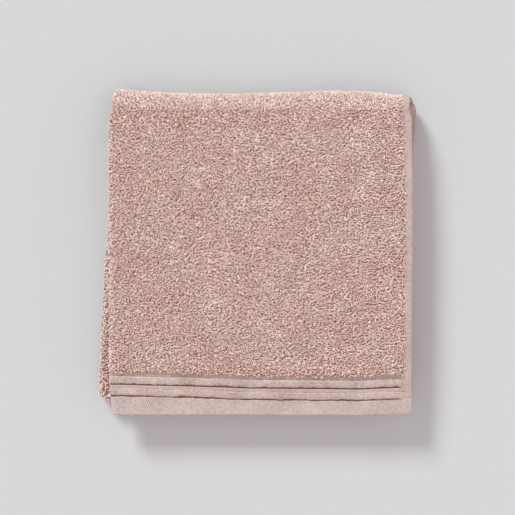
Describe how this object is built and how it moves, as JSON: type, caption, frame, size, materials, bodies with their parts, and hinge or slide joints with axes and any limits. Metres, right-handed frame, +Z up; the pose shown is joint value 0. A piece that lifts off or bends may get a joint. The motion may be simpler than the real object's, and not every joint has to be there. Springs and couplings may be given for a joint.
{
  "type": "bath towel",
  "caption": "Terry bath towel folded flat into a nearly square stack of four two-ply leaves, with a raised-band border and end hem in front; its last fold opens like a book.",
  "frame": {"origin": "centre of the folded towel's underside", "axes": "+Z up through the stack, -Y towards the end hem with the raised bands, +X towards the side hems, -X towards the lengthwise fold"},
  "size_m": [0.3652, 0.3702, 0.0381],
  "materials": {
    "terry": "dusty pink cotton terry, looped pile on both faces",
    "side_hem_weave": "flat woven cotton selvedge, turned and stitched",
    "border_rib": "raised corded band of the dobby border",
    "border_flat_weave": "flat plain weave between the raised bands",
    "end_hem_twill": "flat cotton twill, turned and stitched",
    "sewing_thread": "spun polyester sewing thread",
    "label_satin": "blank white satin care label"
  },
  "bodies": {
    "base": {"back_fold_inside_inner_ply": "terry", "back_fold_inside_length_fold": "terry", "back_fold_inside_outer_ply": "terry", "back_fold_inside_side_hems": "side_hem_weave", "back_fold_outside_inner_ply": "terry", "back_fold_outside_length_fold": "terry", "back_fold_outside_outer_ply": "terry", "back_fold_outside_side_hems": "side_hem_weave", "base_bottom_length_fold": "terry", "base_bottom_lower_ply": "terry", "base_bottom_lower_side_hem": "side_hem_weave", "base_bottom_upper_ply": "terry", "base_bottom_upper_side_hem": "side_hem_weave", "base_top_length_fold": "terry", "base_top_lower_ply": "terry", "base_top_lower_side_hem": "side_hem_weave", "base_top_upper_ply": "terry", "base_top_upper_side_hem": "side_hem_weave", "front_fold_inner_ply": "terry", "front_fold_length_fold": "terry", "front_fold_outer_ply": "terry", "front_fold_side_hems": "side_hem_weave"},
    "flap": {"care_label": "label_satin", "flap_inner_border_channels": "border_flat_weave", "flap_inner_end_hem": "end_hem_twill", "flap_inner_end_hem_stitching": "sewing_thread", "flap_inner_length_fold": "terry", "flap_inner_lower_ply": "terry", "flap_inner_lower_side_hem": "side_hem_weave", "flap_inner_rib_1": "border_rib", "flap_inner_rib_2": "border_rib", "flap_inner_side_hem_stitching": "sewing_thread", "flap_inner_upper_ply": "terry", "flap_inner_upper_side_hem": "side_hem_weave", "flap_outer_border_channels": "border_flat_weave", "flap_outer_end_hem": "end_hem_twill", "flap_outer_end_hem_stitching": "sewing_thread", "flap_outer_length_fold": "terry", "flap_outer_lower_ply": "terry", "flap_outer_lower_side_hem": "side_hem_weave", "flap_outer_rib_1": "border_rib", "flap_outer_rib_2": "border_rib", "flap_outer_side_hem_stitching": "sewing_thread", "flap_outer_upper_ply": "terry", "flap_outer_upper_side_hem": "side_hem_weave"}
  },
  "joints": [
    {"name": "flap_fold", "type": "hinge", "parent": "base", "child": "flap", "pos_m": [0, 0.16605, 0.01905], "axis": [-1, 0, 0], "range_deg": [0, 179.9], "deforming": ["back_fold_inside_inner_ply", "back_fold_inside_length_fold", "back_fold_inside_outer_ply", "back_fold_inside_side_hems", "back_fold_outside_inner_ply", "back_fold_outside_length_fold", "back_fold_outside_outer_ply", "back_fold_outside_side_hems"]}
  ]
}
